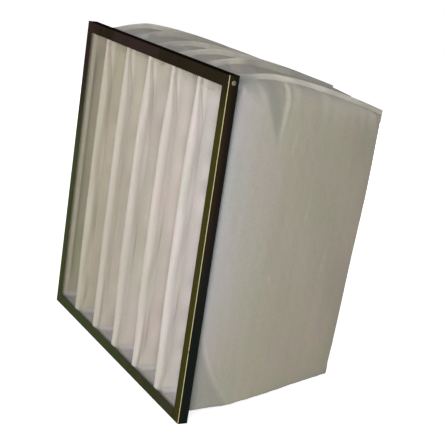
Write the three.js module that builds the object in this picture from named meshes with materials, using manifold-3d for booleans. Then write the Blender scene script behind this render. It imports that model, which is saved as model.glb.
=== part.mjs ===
// A pocket air filter: a folded steel header frame that holds a row of sewn cloth pockets.
// Millimetres, +Z up. Air enters through the open front of the header, on the -Y side,
// and the pockets trail behind the header towards +Y.
// The origin is the middle of the header's underside.

import * as THREE from 'three';
import { mergeVertices } from 'three/addons/utils/BufferGeometryUtils.js';
import Module from 'manifold-3d';

const wasm = await Module();
wasm.setup();

// Header frame: four lengths of folded steel channel
const headerWidth = 592;
const headerHeight = 592;
const headerDepth = 18;
const frontFlange = 20;
const rearLip = 12;
const sheet = 1;
const seatGap = 0.3;

// Corners: the top channel's front flange stops short of the corner by this much,
// and each level channel has a bent tab that is riveted to the upright beside it
const cornerStrip = 7;
const tabLength = 22;
const tabWidth = 12;
const rivetFromEnd = 12;
const rivetShankRadius = 2;
const rivetHeadRadius = 3.8;
const rivetHeadHeight = 1.2;
const rivetHeadRim = 0.3;
const rivetCrownRadius = 2.6;
const rivetCrownHeight = 1;
const rivetTailRadius = 2.9;
const rivetTailTipRadius = 2;
const rivetTailLength = 2.4;

// Pocket mouths: the cloth turns over a steel strip that is bent into a rectangle
const pocketCount = 6;
const sideSlack = 5;
const clothThickness = 1.5;
const stripThickness = 0.8;
const stripCornerRadius = 5;
const hemDepth = 9;
const mouthRounding = 0.7;
const lipCornerRadius = 6;
const wallPuff = 3.5;
const wallPuffRun = 110;

// Pocket bodies: wedges with a sewn seam along the top and the bottom, and a fold at the back
const seamWidth = 9;
const seamThickness = 3;
const foldThickness = 4;
const topShortfall = 23;
const peakDistance = 100;
const topFall = 1.45;
const taperPower = 1.12;
const puff = 3;
const topRollRatio = 1.15;
const bottomRollRatio = 0.3;
const bottomFlatShare = 0.72;
const seamFormedBy = 0.2;
const floorLean = 8.1;

// How a pocket hangs: how far its top seam arches above the header's top edge, how far below
// that edge the seam ends, how far the pocket reaches back, and how far its limp end swings
// to one side. No two hang alike, so each pocket, from left to right, has its shares of these.
const archRise = 10;
const endDrop = 40;
const pocketReach = 340;
const endSwing = 5;
const hangShares = [
  { rise: 1.2, drop: 0.8, reach: 0.99, swing: -0.6 },
  { rise: 1.1, drop: 0.875, reach: 1.003, swing: 0.8 },
  { rise: 0.8, drop: 0.925, reach: 0.985, swing: -1 },
  { rise: 0.9, drop: 0.95, reach: 1.035, swing: 0.6 },
  { rise: 0.9, drop: 1.075, reach: 0.994, swing: -0.8 },
  { rise: 0, drop: 1.2, reach: 0.991, swing: 0 },
];

const materials = {
  header: new THREE.MeshStandardMaterial({ color: 0x2a241e, roughness: 0.35, metalness: 0.7 }),
  rivet: new THREE.MeshStandardMaterial({ color: 0xc9c6bd, roughness: 0.4, metalness: 0.9 }),
  strip: new THREE.MeshStandardMaterial({ color: 0xa9abac, roughness: 0.4, metalness: 0.8 }),
  cloth: new THREE.MeshStandardMaterial({ color: 0xd9d4c8, roughness: 0.95, metalness: 0 }),
};

// Places worked out from the sizes above
const halfWidth = headerWidth / 2;
const halfDepth = headerDepth / 2;
const channelFront = -halfDepth + sheet;
const channelRear = halfDepth - sheet;
const mouthFront = channelFront + seatGap;
const stripFront = mouthFront + clothThickness + seatGap;
const stripRear = channelRear - seatGap;
const rearPlane = halfDepth + seatGap;
const midHeight = headerHeight / 2;
const pitch = (headerWidth - 2 * (sheet + sideSlack)) / pocketCount;
const mouthHalfWidth = pitch / 2 - seatGap / 2;
const mouthHalfHeight = midHeight - sheet - seatGap;
const hemToStrip = clothThickness + seatGap;
const hemCornerRadius = stripCornerRadius + hemToStrip;
const hemToWall = hemToStrip + stripThickness + seatGap;
const lipHalfWidth = pitch / 2 + sideSlack + sheet - rearLip - seatGap;
const lipHalfHeight = midHeight - rearLip - seatGap;
const pocketShapes = hangShares.map((share) => ({
  rise: share.rise * archRise,
  drop: share.drop * endDrop,
  reach: share.reach * pocketReach,
  swing: share.swing * endSwing,
}));

function mix(a, b, t) {
  return a + (b - a) * t;
}

// Booleans on closed geometries

const weldDistance = 1e-4;

function toSolid(geometry) {
  const bare = geometry.clone();
  bare.deleteAttribute('normal');
  bare.deleteAttribute('uv');
  const merged = mergeVertices(bare, weldDistance);
  return new wasm.Manifold(new wasm.Mesh({
    numProp: 3,
    vertProperties: new Float32Array(merged.attributes.position.array),
    triVerts: new Uint32Array(merged.index.array),
  }));
}

function toGeometry(solid) {
  const mesh = solid.getMesh();
  const geometry = new THREE.BufferGeometry();
  geometry.setAttribute('position', new THREE.BufferAttribute(mesh.vertProperties, 3));
  geometry.setIndex(new THREE.BufferAttribute(mesh.triVerts, 1));
  geometry.computeVertexNormals();
  return geometry;
}

function boxBetween(low, high) {
  const size = high.map((value, axis) => value - low[axis]);
  const middle = high.map((value, axis) => (value + low[axis]) / 2);
  return toSolid(new THREE.BoxGeometry(...size).translate(...middle));
}

const roundSegments = 16;

function rivetHole(x, z) {
  const radius = rivetShankRadius + seatGap;
  const hole = new THREE.CylinderGeometry(radius, radius, tabWidth, roundSegments);
  return toSolid(hole.rotateZ(Math.PI / 2).translate(x, 0, z));
}

// The channel's section: a web with a deep flange in front and a shallow lip behind.
// It is drawn with the web's outer face on the line u = 0 and the flanges towards +u.
function channelSection() {
  const outline = [
    [0, -halfDepth],
    [frontFlange, -halfDepth],
    [frontFlange, channelFront],
    [sheet, channelFront],
    [sheet, channelRear],
    [rearLip, channelRear],
    [rearLip, halfDepth],
    [0, halfDepth],
  ];
  return new THREE.Shape(outline.map(([u, y]) => new THREE.Vector2(u, y)));
}

// An upright, made for the -X side with its web on the outside. Its flanges are cut away
// at the top, apart from a narrow strip, to let the top channel in.
function uprightSolid() {
  const extruded = new THREE.ExtrudeGeometry(channelSection(), { depth: headerHeight, bevelEnabled: false });
  let solid = toSolid(extruded.translate(-halfWidth, 0, 0));
  const past = 2 * halfDepth;
  const frontNotch = boxBetween(
    [-halfWidth + cornerStrip, -past, headerHeight - frontFlange - seatGap],
    [-halfWidth + frontFlange + sheet, channelFront + sheet / 2, headerHeight + sheet],
  );
  const rearNotch = boxBetween(
    [-halfWidth + cornerStrip, channelRear - sheet / 2, headerHeight - rearLip - seatGap],
    [-halfWidth + rearLip + sheet, past, headerHeight + sheet],
  );
  solid = solid.subtract(frontNotch).subtract(rearNotch);
  for (const z of [rivetFromEnd, headerHeight - rivetFromEnd]) {
    solid = solid.subtract(rivetHole(-halfWidth, z));
  }
  return solid;
}

// A level channel with its web below, running between the uprights' webs, with a tab
// bent up at each end. frontEnd and rearEnd are how far its flanges stay from the corners.
function levelSolid(frontEnd, rearEnd) {
  const webHalf = halfWidth - sheet - seatGap;
  const extruded = new THREE.ExtrudeGeometry(channelSection(), { depth: 2 * webHalf, bevelEnabled: false });
  // The section's u axis turns to +Z and its length to X
  const turn = new THREE.Matrix4().set(
    0, 0, -1, webHalf,
    0, 1, 0, 0,
    1, 0, 0, 0,
    0, 0, 0, 1,
  );
  let solid = toSolid(extruded.applyMatrix4(turn));
  for (const side of [-1, 1]) {
    const across = (a, b) => [Math.min(side * a, side * b), Math.max(side * a, side * b)];
    const [tabLow, tabHigh] = across(webHalf - sheet, webHalf);
    const tab = boxBetween([tabLow, -tabWidth / 2, 0], [tabHigh, tabWidth / 2, tabLength]);
    const [frontLow, frontHigh] = across(halfWidth - frontEnd, halfWidth + sheet);
    const frontCut = boxBetween(
      [frontLow, -headerDepth, -sheet],
      [frontHigh, channelFront + seatGap, 2 * frontFlange],
    );
    const [rearLow, rearHigh] = across(halfWidth - rearEnd, halfWidth + sheet);
    const rearCut = boxBetween(
      [rearLow, channelRear - seatGap, -sheet],
      [rearHigh, headerDepth, 2 * frontFlange],
    );
    solid = solid.subtract(frontCut).subtract(rearCut).add(tab);
    solid = solid.subtract(rivetHole(side * webHalf, rivetFromEnd));
  }
  return solid;
}

// A blind rivet: a domed head outside, a shank, and the upset tail inside.
// It is turned on Z with the head upwards and z = 0 under the head.
function rivetGeometry() {
  const tailTop = -(2 * sheet + seatGap) - seatGap;
  const tailEnd = tailTop - rivetTailLength;
  const profile = [
    [0, tailEnd],
    [rivetTailTipRadius, tailEnd],
    [rivetTailRadius, (tailTop + tailEnd) / 2],
    [rivetTailRadius, tailTop],
    [rivetShankRadius, tailTop],
    [rivetShankRadius, seatGap],
    [rivetHeadRadius, seatGap],
    [rivetHeadRadius, seatGap + rivetHeadRim],
    [rivetCrownRadius, seatGap + rivetCrownHeight],
    [0, seatGap + rivetHeadHeight],
  ];
  const points = profile.map(([r, z]) => new THREE.Vector2(r, z));
  return new THREE.LatheGeometry(points, roundSegments).rotateX(Math.PI / 2);
}

// The steel strip inside a pocket's mouth, bent into a rectangle with round corners

const stripCornerSteps = 4;

function roundedRectangle(path, halfX, halfZ, radius) {
  path.moveTo(halfX, -halfZ + radius);
  path.lineTo(halfX, halfZ - radius);
  path.absarc(halfX - radius, halfZ - radius, radius, 0, Math.PI / 2);
  path.lineTo(-halfX + radius, halfZ);
  path.absarc(-halfX + radius, halfZ - radius, radius, Math.PI / 2, Math.PI);
  path.lineTo(-halfX, -halfZ + radius);
  path.absarc(-halfX + radius, -halfZ + radius, radius, Math.PI, Math.PI * 1.5);
  path.lineTo(halfX - radius, -halfZ);
  path.absarc(halfX - radius, -halfZ + radius, radius, Math.PI * 1.5, Math.PI * 2);
  return path;
}

function stripGeometry() {
  const outerX = mouthHalfWidth - hemToStrip;
  const outerZ = mouthHalfHeight - hemToStrip;
  const shape = roundedRectangle(new THREE.Shape(), outerX, outerZ, stripCornerRadius);
  const innerRadius = stripCornerRadius - stripThickness;
  shape.holes.push(roundedRectangle(
    new THREE.Path(), outerX - stripThickness, outerZ - stripThickness, innerRadius,
  ));
  const extruded = new THREE.ExtrudeGeometry(shape, {
    depth: stripRear - stripFront,
    bevelEnabled: false,
    curveSegments: stripCornerSteps,
  });
  return extruded.rotateX(Math.PI / 2).translate(0, stripRear, midHeight);
}

// Pockets

const rollSteps = 4;
const panelSteps = 6;

// Where the rings stand along a pocket, as shares of its length behind the header:
// the outside is lofted from the back to the front, and the inside from the front to the back
const outerShares = [1, 0.84, 0.66, 0.5, 0.35, 0.22, 0.12, 0.05, 0];
const innerShares = [0.12, 0.3, 0.5, 0.7, 0.9];

// One side of a closed ring round a pocket, from its lower edge to its upper edge.
// The panel stands straight between two rolls. Each roll turns in from the panel to baseX,
// and from there the edge rises by seamHeight on its way in to tipX.
function ringSide({ halfX, top, bottom, upper, lower }) {
  const edge = (end, direction, { baseX, tipX, roll, seamHeight }) => {
    const baseZ = end - direction * seamHeight;
    const turns = [];
    for (let k = 0; k < rollSteps; k += 1) {
      const angle = (Math.PI / 2) * (k / rollSteps);
      turns.push([
        baseX + (halfX - baseX) * Math.cos(angle),
        baseZ - direction * roll * (1 - Math.sin(angle)),
      ]);
    }
    turns.push([baseX, baseZ], [tipX, end]);
    return turns;
  };
  const lowerEdge = edge(bottom, -1, lower);
  const upperEdge = edge(top, 1, upper);
  const points = lowerEdge.slice().reverse();
  for (let k = 1; k < panelSteps; k += 1) {
    points.push([halfX, mix(lowerEdge[0][1], upperEdge[0][1], k / panelSteps)]);
  }
  points.push(...upperEdge);
  return points;
}

// A closed surface through a list of rings, with both ends closed by strips that join
// the two sides of the ring
function loft(rings) {
  const sides = rings.map((ring) => ({ ring, points: ringSide(ring) }));
  const count = sides[0].points.length;
  const positions = [];
  for (const { ring, points } of sides) {
    const place = ([x, z], sign) => {
      const level = (z - ring.bottom) / (ring.top - ring.bottom);
      positions.push(...ring.place(sign * x, z, level));
    };
    points.forEach((point) => place(point, 1));
    points.slice().reverse().forEach((point) => place(point, -1));
  }
  const around = 2 * count;
  const triangles = [];
  for (let row = 0; row + 1 < rings.length; row += 1) {
    for (let k = 0; k < around; k += 1) {
      const a = row * around + k;
      const b = row * around + ((k + 1) % around);
      const c = a + around;
      const d = b + around;
      triangles.push(a, b, d, a, d, c);
    }
  }
  const last = (rings.length - 1) * around;
  for (let k = 0; k + 1 < count; k += 1) {
    const mirror = around - 1 - k;
    triangles.push(k, mirror, mirror - 1, k, mirror - 1, k + 1);
    triangles.push(last + k, last + mirror - 1, last + mirror, last + k, last + k + 1, last + mirror - 1);
  }
  const geometry = new THREE.BufferGeometry();
  geometry.setAttribute('position', new THREE.Float32BufferAttribute(positions, 3));
  geometry.setIndex(triangles);
  geometry.computeVertexNormals();
  return geometry;
}

// The top seam leaves the header's lip, rises in an arch and then falls towards the back
function topSeam(shape, y) {
  const start = midHeight + lipHalfHeight;
  const peak = headerHeight + shape.rise;
  const end = headerHeight - shape.drop;
  if (y < peakDistance) {
    const along = (y - rearPlane) / (peakDistance - rearPlane);
    return mix(start, peak, Math.sin((Math.PI / 2) * along));
  }
  const along = (y - peakDistance) / (shape.reach - peakDistance);
  return mix(peak, end, along ** topFall);
}

// The bottom lies along the line of a floor on which the filter leans back
function bottomSeam(y) {
  const lip = midHeight - lipHalfHeight;
  const floor = (y - rearPlane) * Math.tan(THREE.MathUtils.degToRad(floorLean));
  return Math.max(lip, floor);
}

// The cloth inside a mouth is pinched at the mouth's two ends and puffs out between them:
// the swelling runs from 0 at the flanges' edges to 1
function swelling(z) {
  const fromEnd = Math.min(z, headerHeight - z) - frontFlange;
  return THREE.MathUtils.smoothstep(fromEnd, 0, wallPuffRun);
}

// A rectangle with round corners, inset from the outside of the hem or from the lip's opening
function mouthRing(y, halfX, halfZ, inset, radius) {
  const cornerRadius = Math.max(radius - inset, mouthRounding);
  const inner = halfX - inset - cornerRadius;
  const edge = { baseX: inner, tipX: inner / 2, roll: cornerRadius, seamHeight: 0 };
  return {
    halfX: halfX - inset,
    top: midHeight + halfZ - inset,
    bottom: midHeight - halfZ + inset,
    upper: edge,
    lower: edge,
    place: (x, z) => [x, y, z],
  };
}

function pocketGeometry(shape) {
  const bodyRing = (share, inset) => {
    const distance = mix(rearPlane, shape.reach, share);
    const taper = mix(lipHalfWidth, foldThickness / 2, share ** taperPower);
    const halfX = taper + puff * Math.sin(Math.PI * share) - inset;
    const seam = Math.min(1, share / seamFormedBy);
    const inside = inset > 0;
    const flat = halfX - lipCornerRadius;
    const tip = inside ? seamThickness / 2 - clothThickness / 2 : seamThickness / 2;
    return {
      halfX,
      top: topSeam(shape, distance) - (inside ? seam * seamWidth + inset : 0),
      bottom: bottomSeam(distance) + inset,
      upper: {
        baseX: mix(flat, seamThickness / 2, seam),
        tipX: mix(flat / 2, tip, seam),
        roll: mix(lipCornerRadius, halfX * topRollRatio, seam),
        seamHeight: inside ? 0 : seam * seamWidth,
      },
      lower: {
        baseX: mix(flat, halfX * bottomFlatShare, seam),
        tipX: mix(flat, halfX * bottomFlatShare, seam) / 2,
        roll: mix(lipCornerRadius, halfX * bottomRollRatio, seam),
        seamHeight: 0,
      },
      place: (x, z, level) => {
        const reach = mix(1 - topShortfall / shape.reach, 1, level);
        const y = rearPlane + (distance - rearPlane) * reach;
        return [x + shape.swing * share ** 2, y, z];
      },
    };
  };
  const hemRing = (y, inset) => mouthRing(y, mouthHalfWidth, mouthHalfHeight, inset, hemCornerRadius);
  const puffedRing = (y, inset) => ({
    ...hemRing(y, inset),
    place: (x, z) => [x * (1 - (swelling(z) * wallPuff) / mouthHalfWidth), y, z],
  });
  const lipRing = (y, inset) => mouthRing(y, lipHalfWidth, lipHalfHeight, inset, lipCornerRadius);
  const turnFront = stripFront - seatGap;
  const hemEnd = mouthFront + hemDepth;
  const innerWall = hemToWall + clothThickness;
  const rings = [
    ...outerShares.map((share) => bodyRing(share, 0)),
    lipRing(stripRear, 0),
    hemRing(turnFront, hemToWall),
    hemRing(turnFront, clothThickness),
    hemRing(hemEnd, clothThickness),
    hemRing(hemEnd, 0),
    hemRing(mouthFront + mouthRounding, 0),
    hemRing(mouthFront, mouthRounding),
    hemRing(mouthFront, innerWall - mouthRounding),
    puffedRing(mouthFront + mouthRounding, innerWall),
    puffedRing(mouthFront + hemDepth / 2, innerWall + mouthRounding),
    lipRing(stripRear, clothThickness),
    ...innerShares.map((share) => bodyRing(share, clothThickness)),
  ];
  return loft(rings);
}

// The assembly

const filter = new THREE.Group();

function addMesh(name, geometry, material) {
  const mesh = new THREE.Mesh(geometry, material);
  mesh.name = name;
  filter.add(mesh);
  return mesh;
}

const upright = toGeometry(uprightSolid());
addMesh('header_left', upright, materials.header);
addMesh('header_right', toGeometry(uprightSolid().mirror([1, 0, 0])), materials.header);
const frontEndOfTop = cornerStrip + seatGap;
addMesh('header_bottom', toGeometry(levelSolid(frontFlange + seatGap, rearLip + seatGap)), materials.header);
const topSolid = levelSolid(frontEndOfTop, frontEndOfTop).mirror([0, 0, 1]);
addMesh('header_top', toGeometry(topSolid), materials.header).position.z = headerHeight;

for (const [side, sideName] of [[-1, 'left'], [1, 'right']]) {
  for (const [z, endName] of [[rivetFromEnd, 'bottom'], [headerHeight - rivetFromEnd, 'top']]) {
    const rivet = addMesh(`corner_rivet_${endName}_${sideName}`, rivetGeometry(), materials.rivet);
    rivet.rotation.y = side * Math.PI / 2;
    rivet.position.set(side * halfWidth, 0, z);
  }
}

for (let k = 0; k < pocketCount; k += 1) {
  const x = (k - (pocketCount - 1) / 2) * pitch;
  addMesh(`mouth_strip_${k + 1}`, stripGeometry(), materials.strip).position.x = x;
  const shape = pocketShapes[k % pocketShapes.length];
  addMesh(`pocket_${k + 1}`, pocketGeometry(shape), materials.cloth).position.x = x;
}

export default filter;
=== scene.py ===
"""A pocket air filter: sewn cloth pockets hanging behind a folded steel header frame.

Metres. The filter stands on its header, +Z up, with its open front towards -Y.
"""
import math

import bmesh
import bpy
import numpy as np
from mathutils import Matrix, Vector


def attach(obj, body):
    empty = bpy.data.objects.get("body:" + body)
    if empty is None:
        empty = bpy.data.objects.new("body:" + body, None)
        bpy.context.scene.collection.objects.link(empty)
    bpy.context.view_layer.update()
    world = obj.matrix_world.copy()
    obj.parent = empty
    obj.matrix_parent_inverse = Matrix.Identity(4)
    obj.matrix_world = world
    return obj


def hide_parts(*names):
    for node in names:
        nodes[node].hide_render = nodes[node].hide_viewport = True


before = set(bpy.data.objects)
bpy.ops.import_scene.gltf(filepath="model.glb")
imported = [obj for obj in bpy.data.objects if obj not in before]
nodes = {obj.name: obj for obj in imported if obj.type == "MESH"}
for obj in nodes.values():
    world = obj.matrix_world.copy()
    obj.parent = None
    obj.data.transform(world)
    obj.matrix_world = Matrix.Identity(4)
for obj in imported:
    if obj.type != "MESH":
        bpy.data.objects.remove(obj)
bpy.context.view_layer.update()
scene = bpy.context.scene

# Header, as the model has it
HEADER = 0.592
HALF = HEADER / 2
HALF_DEPTH = 0.009
FLANGE = 0.020
LIP = 0.012
SHEET = 0.001
GAP = 0.0003

# Pockets, as the model has them
COUNT = 6
SIDE_SLACK = 0.005
PITCH = (HEADER - 2 * (SHEET + SIDE_SLACK)) / COUNT
MOUTH_HALF_WIDTH = PITCH / 2 - GAP / 2
MOUTH_HALF_HEIGHT = HALF - SHEET - GAP
LIP_HALF_WIDTH = PITCH / 2 + SIDE_SLACK + SHEET - LIP - GAP
LIP_HALF_HEIGHT = HALF - LIP - GAP
REAR_PLANE = HALF_DEPTH + GAP
CORNER = 0.006
HEM_CORNER = 0.0068
HEM_CORNER_LEAST = 0.0012
SEAM = 0.009
SEAM_EDGE = 0.0009
FOLD = 0.004
TOP_SHORTFALL = 0.023
PEAK = 0.100
TOP_FALL = 1.45
TAPER = 1.12
PUFF = 0.003
TOP_ROLL = 1.15
BOTTOM_ROLL = 0.30
BOTTOM_FLAT = 0.72
SEAM_FORMED = 0.2
FLOOR_SLOPE = math.tan(math.radians(8.1))
ARCH_RISE = 0.010
END_DROP = 0.040
REACH = 0.340
SWING = 0.005
# rise, drop, reach and swing of each pocket, as shares of the four sizes above
HANGS = (
    (1.2, 0.8, 0.99, -0.6),
    (1.1, 0.875, 1.003, 0.8),
    (0.8, 0.925, 0.985, -1.0),
    (0.9, 0.95, 1.035, 0.6),
    (0.9, 1.075, 0.994, -0.8),
    (0.0, 1.2, 0.991, 0.0),
)

CLOTH = 0.0012
SKIN = CLOTH / 2 + 0.0001


def smooth(value, low, high):
    t = np.clip((value - low) / (high - low), 0.0, 1.0)
    return t * t * (3 - 2 * t)


def mix(a, b, t):
    return a + (b - a) * t


def bump(value, width):
    """A bell of height 1 round zero."""
    return np.exp(-((value / width) ** 2))


def stroke(value, bell):
    """A bell given by its height, the value where it stands, and its width."""
    height, place, width = bell
    return height * bump(value - place, width)


def line_at(points, z):
    """The depth of a line down the cloth at height z. points are (depth, height), top first."""
    y, h = np.array(points).T
    return np.interp(z, h[::-1], y[::-1])


def waves(seed, count, short, long, y, z, lean):
    """Smooth irregular waves of height about 1, between two wavelengths."""
    rng = np.random.default_rng(seed)
    total = np.zeros_like(y)
    for _ in range(count):
        length = math.exp(rng.uniform(math.log(short), math.log(long)))
        angle = rng.uniform(-lean, lean)
        phase = rng.uniform(0, 2 * math.pi)
        total += np.sin(2 * math.pi * (y * math.cos(angle) + z * math.sin(angle)) / length + phase)
    return total / math.sqrt(count)


# Kinds of waves in the cloth: height, how many are summed, shortest and longest, and lean
BROAD_SAG = (0.0010, 6, 0.16, 0.45, 1.5)
FINE_WRINKLES = (0.00012, 9, 0.018, 0.05, 1.5)
SEAM_GATHERS = (0.0008, 6, 0.020, 0.050, 0.25)
FOOT_GATHERS = (0.0002, 6, 0.020, 0.050, 0.25)
SEAM_SWAY = (0.0015, 5, 0.05, 0.16, 0.1)
CREASE_WANDER = (0.0018, 4, 0.10, 0.30, 0.1)
RIDGE_SWELL = (0.22, 4, 0.12, 0.35, 0.1)
LIMP_FOLDS = (1.0, 5, 0.10, 0.32, 0.5)
DRAPE_FOLDS = (1.0, 7, 0.045, 0.13, 0.15)


def ripple(kind, seed, along, across):
    height, count, short, long, lean = kind
    return height * waves(seed, count, short, long, along, across, lean)


# The camera

SENSOR = 36.0
LENS = 88.78
CAMERA_PLACE = (1.76122, -0.84796, 0.80528)
CAMERA_RIGHT = (0.46896, 0.87095, 0.14670)
CAMERA_UP = (-0.29473, -0.00226, 0.95558)


def add_camera():
    data = bpy.data.cameras.new("camera")
    data.sensor_width = SENSOR
    data.lens = LENS
    data.clip_start = 0.05
    data.clip_end = 50.0
    camera = bpy.data.objects.new("camera", data)
    scene.collection.objects.link(camera)
    right, up = Vector(CAMERA_RIGHT), Vector(CAMERA_UP)
    turn = Matrix((right, up, right.cross(up))).transposed().to_4x4()
    camera.matrix_world = Matrix.Translation(CAMERA_PLACE) @ turn
    scene.camera = camera


# Pockets: each is one sheet of cloth, drawn as a grid of rings round the pocket.
# The rings run from the fold at the back to the end of the hem inside the header.
# Each ring starts in the middle of its bottom and goes up the right side first.

FLAT_STEPS = 5
ROLL_STEPS = 9
PANEL_STEPS = 84
SEAM_STEPS = 6
BAND_COLUMN = FLAT_STEPS + 2 * ROLL_STEPS + PANEL_STEPS
FIN_COLUMN = BAND_COLUMN + SEAM_STEPS // 2
COLUMNS = 2 * (BAND_COLUMN + SEAM_STEPS + 2) - 2
BODY_RINGS = 112
RING_CROWDING = 1.4
# The last rings close the fold at the back: their shares of its width, and how far it bulges
BACK_CLOSING = (0.0, 0.55, 0.85)
BACK_ROUND = 0.0010


def half_ring(half_x, top, bottom, upper, lower):
    """One side of a ring, from the middle of its bottom to the middle of its top."""
    base, tip, roll, seam = upper
    low_base, low_roll = lower
    shoulder = top - seam
    points = []
    for k in range(FLAT_STEPS):
        points.append((low_base * k / FLAT_STEPS, bottom))
    for k in range(ROLL_STEPS):
        a = math.pi / 2 * (1 - k / ROLL_STEPS)
        x = low_base + (half_x - low_base) * math.cos(a)
        points.append((x, bottom + low_roll * (1 - math.sin(a))))
    for k in range(PANEL_STEPS):
        points.append((half_x, mix(bottom + low_roll, shoulder - roll, k / PANEL_STEPS)))
    for k in range(ROLL_STEPS):
        a = math.pi / 2 * k / ROLL_STEPS
        x = base + (half_x - base) * math.cos(a)
        points.append((x, shoulder - roll * (1 - math.sin(a))))
    for k in range(SEAM_STEPS + 1):
        points.append((mix(base, tip, k / SEAM_STEPS), mix(shoulder, top, k / SEAM_STEPS)))
    points.append((0.0, top))
    return np.array(points)


def whole_ring(side):
    """Both sides of a ring, each middle point once."""
    other = side[1:-1][::-1] * (-1, 1)
    return np.concatenate([side, other])


def top_seam(rise, drop, reach, y):
    if y < PEAK:
        along = max(0.0, (y - REAR_PLANE) / (PEAK - REAR_PLANE))
        return mix(HALF + LIP_HALF_HEIGHT, HEADER + rise, math.sin(math.pi / 2 * along))
    along = min(1.0, (y - PEAK) / (reach - PEAK))
    return mix(HEADER + rise, HEADER - drop, along ** TOP_FALL)


def bottom_line(y):
    return max(HALF - LIP_HALF_HEIGHT, (y - REAR_PLANE) * FLOOR_SLOPE)


def body_ring(hang, share, closing=1.0):
    """A ring of the pocket's body, at a share of its reach, before it is dressed."""
    rise, drop, reach, swing = hang
    y = mix(REAR_PLANE, reach, share)
    half_x = mix(LIP_HALF_WIDTH, FOLD / 2, share ** TAPER) + PUFF * math.sin(math.pi * share)
    half_x = (half_x - SKIN) * closing
    formed = min(1.0, share / SEAM_FORMED)
    formed = formed * formed * (3 - 2 * formed)
    top = top_seam(rise, drop, reach, y) - SKIN
    bottom = bottom_line(y) + SKIN
    flat = max(half_x - CORNER, 0.0)
    tip = min(SEAM_EDGE, half_x)
    upper = (
        mix(flat, tip, formed),
        mix(flat / 2, tip, formed),
        mix(CORNER, half_x * TOP_ROLL, formed),
        SEAM * formed,
    )
    lower = (mix(flat, half_x * BOTTOM_FLAT, formed), mix(CORNER, half_x * BOTTOM_ROLL, formed))
    ring = whole_ring(half_ring(half_x, top, bottom, upper, lower))
    level = (ring[:, 1] - bottom) / (top - bottom)
    depth = REAR_PLANE + (y - REAR_PLANE) * mix(1 - TOP_SHORTFALL / reach, 1.0, level)
    return np.stack([ring[:, 0] + swing * share ** 2, depth, ring[:, 1]], 1)


# Mouths: the hem runs from the rear lip forwards to the nose, then round it and back.
# Depths of its rows, first those inside the mouth
HEM_ROWS = (
    0.0084, 0.0077, 0.0070, 0.0063, 0.0056, 0.0049, 0.0042, 0.0035, 0.0028, 0.0021, 0.0014, 0.0007,
    0.0, -0.0007, -0.0014, -0.0021, -0.0028, -0.0034, -0.0040, -0.0046, -0.0051, -0.0056, -0.0060,
    -0.0064, -0.0067, -0.0069, -0.0070,
)
# and then those round the nose, each with how far it stands in from the mouth's outline
NOSE_ROWS = (
    (-0.0071, 0.0017), (-0.0070, 0.0013), (-0.0067, 0.0010), (-0.0062, 0.0008), (-0.0045, 0.0008),
    (-0.0015, 0.0008), (0.0013, 0.0008),
)
NOSE, NOSE_INSET = NOSE_ROWS[0]
NOSE_ROUND = 0.0018
HEM_END = HEM_ROWS[0]
HEM_INSET = 0.0033
LIP_INSET = 0.0068
LIP_INSET_UPRIGHT = 0.0122

# The walls inside the mouths puff out behind the nose into a ridge, which ends in a crease.
# At the pinched ends of a mouth the ridge is low and the crease is close to the nose.
PINCH_TOP = 0.105
PINCH_BOTTOM = 0.040
BOTTOM_OPEN = 0.65
RIDGE_PUFF = (0.0006, 0.0043)
RIDGE_ROUND = 0.7
RIDGE_RUN = 0.004
CREASE_AT = (-0.0036, 0.0090)
CREASE_DIP = 0.00015
CREASE_HALF_WIDTH = 0.0030
CREASE_PINCHED = 0.7
# Where the hem starts to turn in toward the rear lip, at its sides and at its ends
SIDES_TURN_FROM = 0.001
ENDS_TURN_FROM = -0.003


def divides(index, right):
    """True if this wall of the pocket stands beside another pocket, not beside the header."""
    return index < COUNT - 1 if right else index > 0


def seed_of(index, right):
    return 500 + 40 * index + (7 if right else 0)


def opening(z):
    """0 at the pinched top end of a mouth, 1 where the cloth is free."""
    top = smooth(HEADER - FLANGE - z, 0.0, PINCH_TOP)
    bottom = mix(BOTTOM_OPEN, 1.0, smooth(z - FLANGE, 0.0, PINCH_BOTTOM))
    return top * bottom


def crease_depth(z, seed):
    wander = ripple(CREASE_WANDER, seed, z, 0 * z)
    return mix(CREASE_AT[0], CREASE_AT[1] + wander, opening(z))


def crease_dip(y, z, seed):
    dip = bump(y - crease_depth(z, seed), CREASE_HALF_WIDTH)
    return CREASE_DIP * dip * mix(CREASE_PINCHED, 1.0, opening(z))


def ridge(y, z, seed):
    """How much further in than the plain hem the cloth of a divider stands."""
    crease = crease_depth(z, seed)
    crest = (NOSE + crease) / 2
    climb = np.sin(math.pi / 2 * np.clip((y - NOSE) / (crest - NOSE), 0.0, 1.0)) ** RIDGE_ROUND
    swell = 1 + ripple(RIDGE_SWELL, seed + 1, z, 0 * z)
    puff = mix(*RIDGE_PUFF, opening(z)) * swell * climb
    shading_attribute = smooth(y, crest, np.maximum(crease + RIDGE_RUN, HEM_END))
    return mix(puff, LIP_INSET - HEM_INSET, shading_attribute) - crease_dip(y, z, seed)


# How far the slack cloth of each divider swells out toward the front, halfway up
FORWARD = (0.0015, 0.0015, 0.0042, 0.0042, 0.0032)
FORWARD_FROM = 0.004
FORWARD_FOOT = (0.05, 0.20)
FORWARD_HEAD = (0.42, 0.55)


def forward(index, right, z):
    middle = smooth(z, *FORWARD_FOOT) * (1 - smooth(z, *FORWARD_HEAD))
    return FORWARD[index if right else index - 1] * middle


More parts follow.
